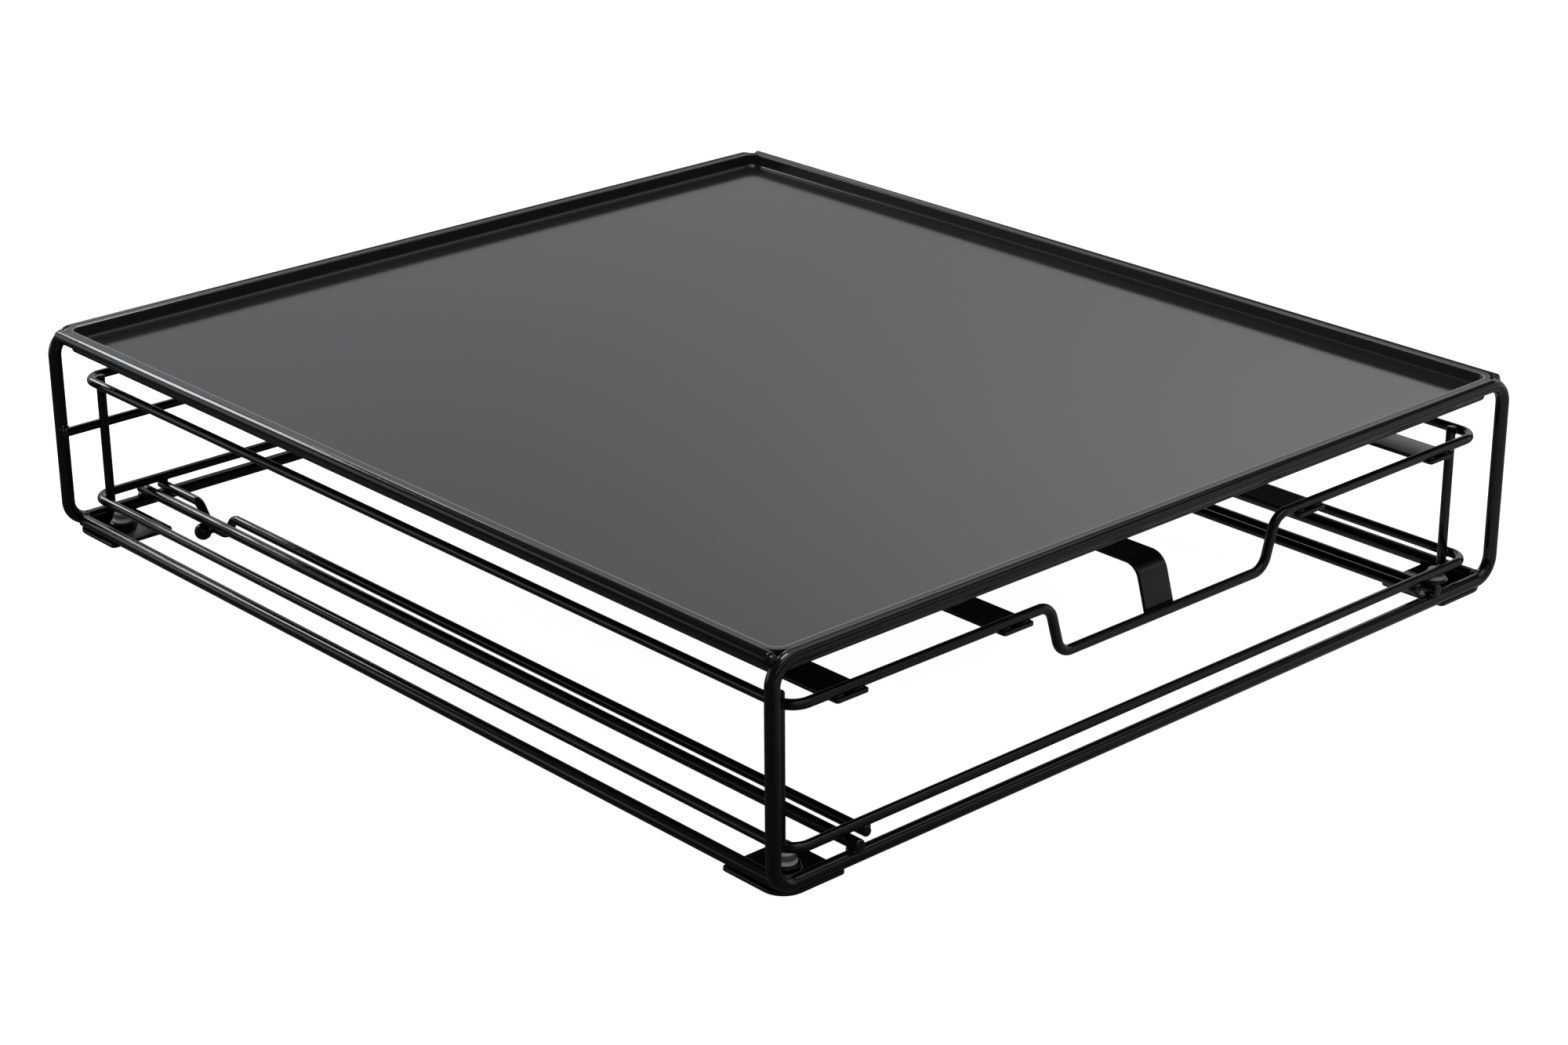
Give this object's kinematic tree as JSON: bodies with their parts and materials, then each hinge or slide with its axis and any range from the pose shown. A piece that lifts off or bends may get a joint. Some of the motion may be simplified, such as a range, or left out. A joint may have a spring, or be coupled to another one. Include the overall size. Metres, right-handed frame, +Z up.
{
  "type": "coffee capsule holder",
  "caption": "Low welded wire stand with a folded sheet tray for a coffee machine and a wire drawer below, whose flat strips hold capsules by their rims.",
  "frame": {"origin": "middle of the footprint, on the plane that the feet stand on", "axes": "+X to the right seen from the front, +Y to the rear, +Z up; the drawer slides out along -Y"},
  "size_m": [0.3042, 0.3448, 0.0714],
  "materials": {
    "stand_wire_coating": "glossy black powder coat on steel wire",
    "drawer_wire_coating": "glossy black powder coat on steel wire",
    "sheet_coating": "semi-gloss black powder coat on steel sheet",
    "tray_coating": "smooth semi-gloss black coat on steel sheet",
    "foot_plastic": "translucent soft white plastic"
  },
  "bodies": {
    "stand": {"front_loop": "stand_wire_coating", "rear_loop": "stand_wire_coating", "rear_crossbar": "stand_wire_coating", "top_side_wire_left": "stand_wire_coating", "top_side_wire_right": "stand_wire_coating", "bottom_side_wire_left": "stand_wire_coating", "bottom_side_wire_right": "stand_wire_coating", "top_tray": "tray_coating", "rail_left": "stand_wire_coating", "rail_right": "stand_wire_coating", "corner_plate_front_left": "sheet_coating", "corner_plate_front_right": "sheet_coating", "corner_plate_rear_left": "sheet_coating", "corner_plate_rear_right": "sheet_coating", "foot_front_left": "foot_plastic", "foot_front_right": "foot_plastic", "foot_rear_left": "foot_plastic", "foot_rear_right": "foot_plastic"},
    "drawer": {"drawer_top_rim": "drawer_wire_coating", "drawer_bottom_rim": "drawer_wire_coating", "drawer_post_front_left": "drawer_wire_coating", "drawer_post_front_right": "drawer_wire_coating", "drawer_post_rear_left": "drawer_wire_coating", "drawer_post_rear_right": "drawer_wire_coating", "runner_left": "drawer_wire_coating", "runner_right": "drawer_wire_coating", "stop_pin_left": "drawer_wire_coating", "stop_pin_right": "drawer_wire_coating", "capsule_strip_1": "sheet_coating", "capsule_strip_2": "sheet_coating", "capsule_strip_middle": "sheet_coating", "capsule_strip_4": "sheet_coating", "capsule_strip_5": "sheet_coating"}
  },
  "joints": [
    {"name": "drawer_slide", "type": "slide", "parent": "stand", "child": "drawer", "axis": [0, -1, 0], "range_m": [0, 0.2943]}
  ]
}
